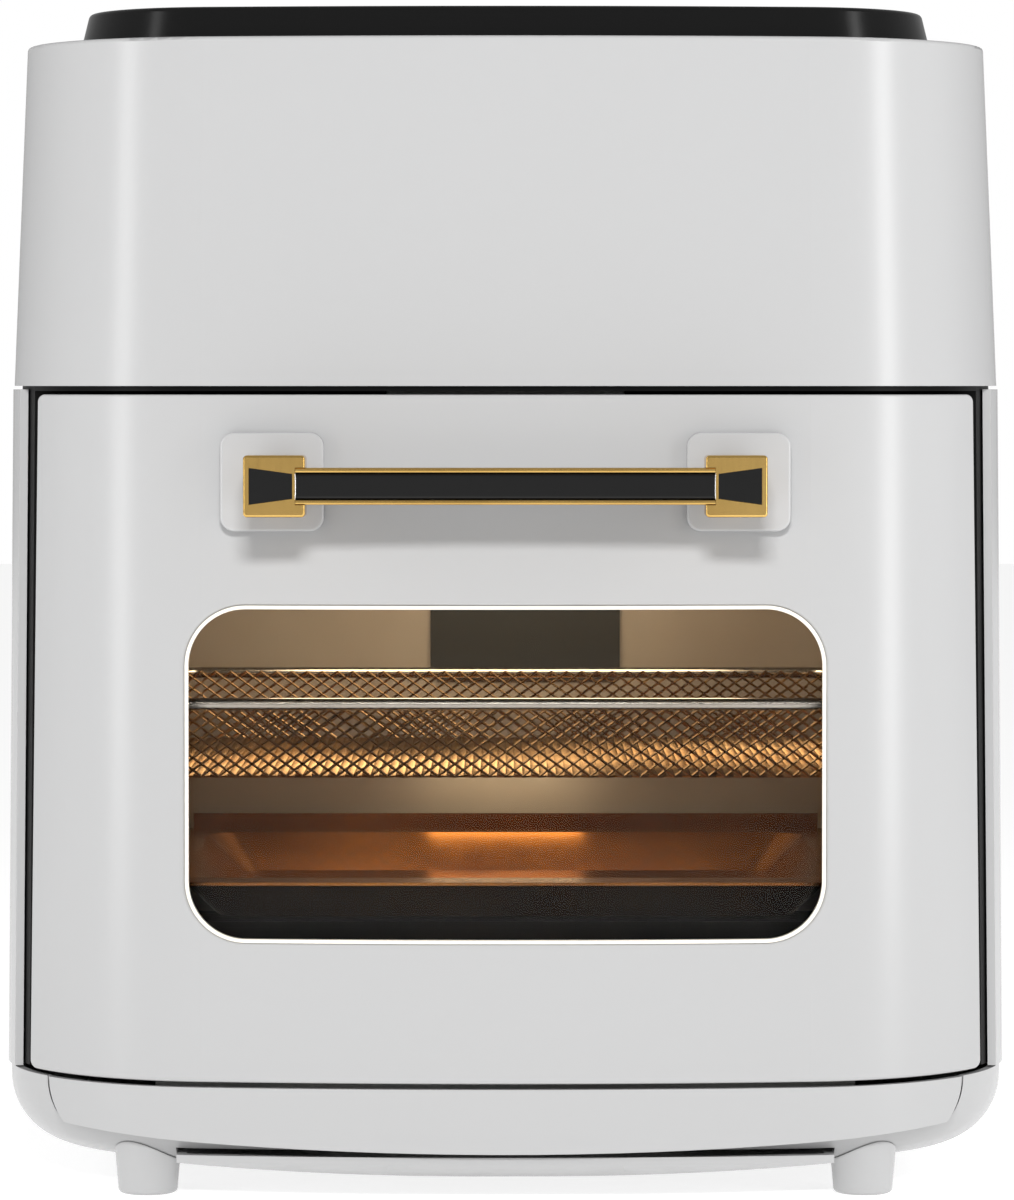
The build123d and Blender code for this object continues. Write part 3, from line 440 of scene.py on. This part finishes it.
def add_strand(shape, start, end, out):
    """One slim strand between two knots, set on edge."""
    along = (end - start).normalized()
    across = along.cross(out).normalized()
    offsets = (across * strand_half + out * strand_tilt, out * strand_depth,
               -across * strand_half - out * strand_tilt, -out * strand_depth)
    rings = [[shape.verts.new(point + offset) for offset in offsets]
             for point in (start - along * strand_lap, end + along * strand_lap)]
    for i in range(4):
        j = (i + 1) % 4
        shape.faces.new((rings[0][i], rings[0][j], rings[1][j], rings[1][i]))
    shape.faces.new(rings[0][::-1])
    shape.faces.new(rings[1])


def add_net(shape, corner, right, up, width, height):
    """A flat diamond net from its corner, its two directions and its size."""
    columns = round(width / net_pitch)
    rows = round(height / net_rise)
    step, rise = width / columns, height / rows
    out = right.cross(up)
    for row in range(2 * rows):
        for column in range(2 * columns):
            if (row + column) % 2 == 0:
                knots = (column, row), (column + 1, row + 1)
            else:
                knots = (column + 1, row), (column, row + 1)
            start, end = (corner + right * (x * step / 2) + up * (z * rise / 2) for x, z in knots)
            add_strand(shape, start, end, out)


side_x, side_y, side_z = Vector((1, 0, 0)), Vector((0, 1, 0)), Vector((0, 0, 1))
net_low = basket_low + Vector((net_inset, net_inset, net_inset))
net_high = basket_high - Vector((net_inset, net_inset, net_top_inset))
net_size = net_high - net_low
net = bmesh.new()
for y in (net_low.y, net_high.y):
    add_net(net, Vector((net_low.x, y, net_low.z)), side_x, side_z, net_size.x, net_size.z)
for x in (net_low.x, net_high.x):
    add_net(net, Vector((x, net_low.y, net_low.z)), side_y, side_z, net_size.y, net_size.z)
add_net(net, net_low, side_x, side_y, net_size.x, net_size.y)
net_steel = rolled_steel("net_steel", tone=(0.40, 0.27, 0.15), stain=(0.13, 0.07, 0.03), roughness=0.3,
                         grain=(90, 90, 90))
basket_net = new_piece("basket_net", net, net_steel, "basket")
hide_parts("basket_mesh")
rim_steel = rolled_steel("rim_steel", tone=(0.62, 0.62, 0.62), stain=(0.45, 0.42, 0.38), roughness=0.2,
                         grain=(120, 8, 8))
finish_nodes(["basket_rim"], rim_steel)

# The baking tray is pressed from one sheet. Its coat is a baked golden brown,
# darker where fat has burnt on.
tray_coat = rolled_steel("tray_coat", tone=(0.40, 0.17, 0.04), stain=(0.11, 0.03, 0.01), roughness=0.22,
                         grain=(14, 40, 40), metallic=0.9)
finish_nodes(["baking_tray"], tray_coat)

# The floor is a plain pale sheet, lit from below as a light table is,
# so that it stays white under the oven.
floor_half = 6
floor_glow = {"Emission Color": (1, 1, 1, 1), "Emission Strength": 0.68}
floor_shape = bmesh.new()
bmesh.ops.create_grid(floor_shape, x_segments=8, y_segments=8, size=floor_half)
floor_mesh = bpy.data.meshes.new("floor")
floor_shape.to_mesh(floor_mesh)
floor_shape.free()
floor = bpy.data.objects.new("floor", floor_mesh)
bpy.context.scene.collection.objects.link(floor)
floor_paper = moulded("floor_paper", tone=(0.55, 0.55, 0.55), gloss=0.8, shift=0.01, ripple=60, lift=0.0,
                      sockets=floor_glow)
floor_mesh.materials.append(floor_paper)

# The studio is pale all round, and plain white where it is seen directly. A small key light from just above
# the camera throws the handle's shadow, and wide fills beside the oven lift its flanks.
front_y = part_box("door_skin")[0].y
room_light = 0.40
white = (1, 1, 1, 1)
world = bpy.data.worlds.new("studio")
bpy.context.scene.world = world
world.use_nodes = True
room = world.node_tree.nodes["Background"]
room.inputs["Color"].default_value = white
room.inputs["Strength"].default_value = room_light
backdrop = world.node_tree.nodes.new("ShaderNodeBackground")
backdrop.inputs["Color"].default_value = white
backdrop.inputs["Strength"].default_value = 1.0
seen = world.node_tree.nodes.new("ShaderNodeLightPath")
choice = world.node_tree.nodes.new("ShaderNodeMixShader")
world.node_tree.links.new(seen.outputs["Is Camera Ray"], choice.inputs["Fac"])
world.node_tree.links.new(room.outputs[0], choice.inputs[1])
world.node_tree.links.new(backdrop.outputs[0], choice.inputs[2])
world.node_tree.links.new(choice.outputs[0], world.node_tree.nodes["World Output"].inputs["Surface"])


def area_light(name, place, target, size, power, colour=(1, 1, 1)):
    """A rectangular light that looks at a point."""
    lamp = bpy.data.lights.new(name, "AREA")
    lamp.shape = "RECTANGLE"
    lamp.size, lamp.size_y = size
    lamp.energy = power
    lamp.color = colour
    holder = bpy.data.objects.new(name, lamp)
    holder.location = place
    holder.rotation_euler = (Vector(target) - Vector(place)).to_track_quat("-Z", "Y").to_euler()
    bpy.context.scene.collection.objects.link(holder)
    return holder


key_place = (0, front_y - 1.5, 0.75)
key = area_light("key_softbox", key_place, (0, front_y, 0.24), size=(0.26, 0.12), power=20)
key.visible_glossy = False
fill_reach = 1.4
fill_y = front_y + 0.15
for side, name, power in ((-1, "side_fill_left", 7), (1, "side_fill_right", 9)):
    fill_place = (side * fill_reach, fill_y, 0.4)
    fill = area_light(name, fill_place, (0, fill_y, 0.2), size=(0.8, 1.2), power=power)
    fill.visible_glossy = False

# Two tall narrow strips stand beside the camera. The rounded corners mirror them
# as the upright sheens that run down the housing and the door.
sheen_angle = math.radians(62)
sheen_reach = 1.5
sheen_size = (0.22, 1.6)
for side, name, power in ((-1, "sheen_strip_left", 6), (1, "sheen_strip_right", 8.5)):
    strip_x = side * sheen_reach * math.sin(sheen_angle)
    strip_y = front_y - sheen_reach * math.cos(sheen_angle)
    area_light(name, (strip_x, strip_y, 0.3), (0, front_y, 0.25), sheen_size, power)

# A warm light under the oven's ceiling stands in for the lamp's glow, and a small one over the tray's
# rear wall puts the bright patch there.
liner_low, liner_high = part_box("cavity_liner")
tray_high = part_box("baking_tray")[1]
middle_y = (liner_low.y + liner_high.y) / 2
oven_lamp_place = (0, middle_y, liner_high.z - 6 * mm)
oven_lamp_aim = (0, middle_y + 20 * mm, liner_low.z)
warm = (1.0, 0.78, 0.50)
area_light("oven_lamp", oven_lamp_place, oven_lamp_aim, size=(0.16, 0.1), power=0.42, colour=warm)
tray_lamp_place = Vector((0, tray_high.y - 13 * mm, basket_low.z - 3 * mm))
tray_lamp_aim = tray_lamp_place - side_z
gold = (1, 0.80, 0.50)
area_light("tray_lamp", tray_lamp_place, tray_lamp_aim, size=(0.055, 0.018), power=0.022, colour=gold)

# The camera stands level with the top of the door, far enough back to keep the oven's sides nearly square.
# Its lens is worked out from the photograph's pixels for each metre at the door.
camera_reach = 1.7
camera_x = 0.0005
eye_height = 0.2576
scale_px = 3200.0
frame_px = (1014, 1200)
horizon_px = 385
sensor = 36.0
lens_px = scale_px * camera_reach
tilt = math.atan((frame_px[1] / 2 - horizon_px) / lens_px)
camera_data = bpy.data.cameras.new("camera")
camera_data.sensor_width = sensor
camera_data.lens = lens_px / max(frame_px) * sensor
camera = bpy.data.objects.new("camera", camera_data)
camera.location = (camera_x, front_y - camera_reach, eye_height)
camera.rotation_euler = (math.radians(90) - tilt, 0, 0)
bpy.context.scene.collection.objects.link(camera)
bpy.context.scene.camera = camera
bpy.context.scene.view_settings.view_transform = "Standard"
